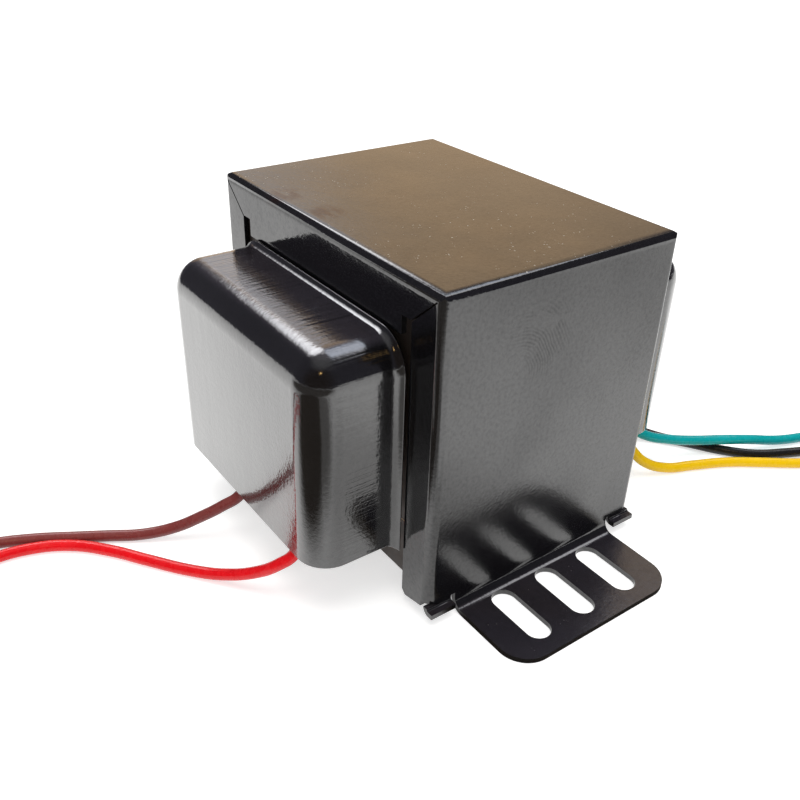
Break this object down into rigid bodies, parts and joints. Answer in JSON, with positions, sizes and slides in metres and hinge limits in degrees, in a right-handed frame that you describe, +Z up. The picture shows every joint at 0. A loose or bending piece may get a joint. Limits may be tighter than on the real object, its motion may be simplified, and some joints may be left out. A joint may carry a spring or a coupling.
{
  "type": "audio transformer",
  "caption": "Audio output transformer with an EI core in a folded black steel channel frame, slotted mounting feet, drawn end bells and coloured flying leads.",
  "frame": {"origin": "on the mounting surface under the middle of the frame", "axes": "+X across the two feet, -Y towards the front bell with the brown and red leads, +Z up"},
  "size_m": [0.1139, 0.2376, 0.0615],
  "materials": {
    "black_enamel": "gloss",
    "core_steel": "satin",
    "insulation_paper": "matte",
    "bobbin_plastic": "matte",
    "copper_wire": "satin",
    "coil_tape": "satin",
    "brown_pvc": "gloss",
    "red_pvc": "gloss",
    "teal_pvc": "gloss",
    "black_pvc": "gloss",
    "yellow_pvc": "gloss",
    "tinned_wire": "satin"
  },
  "bodies": {
    "root": {"channel_frame": "black_enamel", "front_bell": "black_enamel", "rear_bell": "black_enamel", "e_stack": "core_steel", "i_stack": "core_steel", "gap_paper": "insulation_paper", "bobbin": "bobbin_plastic", "primary_inner": "copper_wire", "interleave_inner": "insulation_paper", "secondary_winding": "copper_wire", "interleave_outer": "insulation_paper", "primary_outer": "copper_wire", "outer_wrap": "coil_tape", "front_joint_pad": "insulation_paper", "rear_joint_pad": "insulation_paper", "brown_lead": "brown_pvc", "red_lead": "red_pvc", "teal_lead": "teal_pvc", "black_lead": "black_pvc", "yellow_lead": "yellow_pvc", "brown_tip": "tinned_wire", "red_tip": "tinned_wire", "teal_tip": "tinned_wire", "black_tip": "tinned_wire", "yellow_tip": "tinned_wire"}
  },
  "joints": []
}
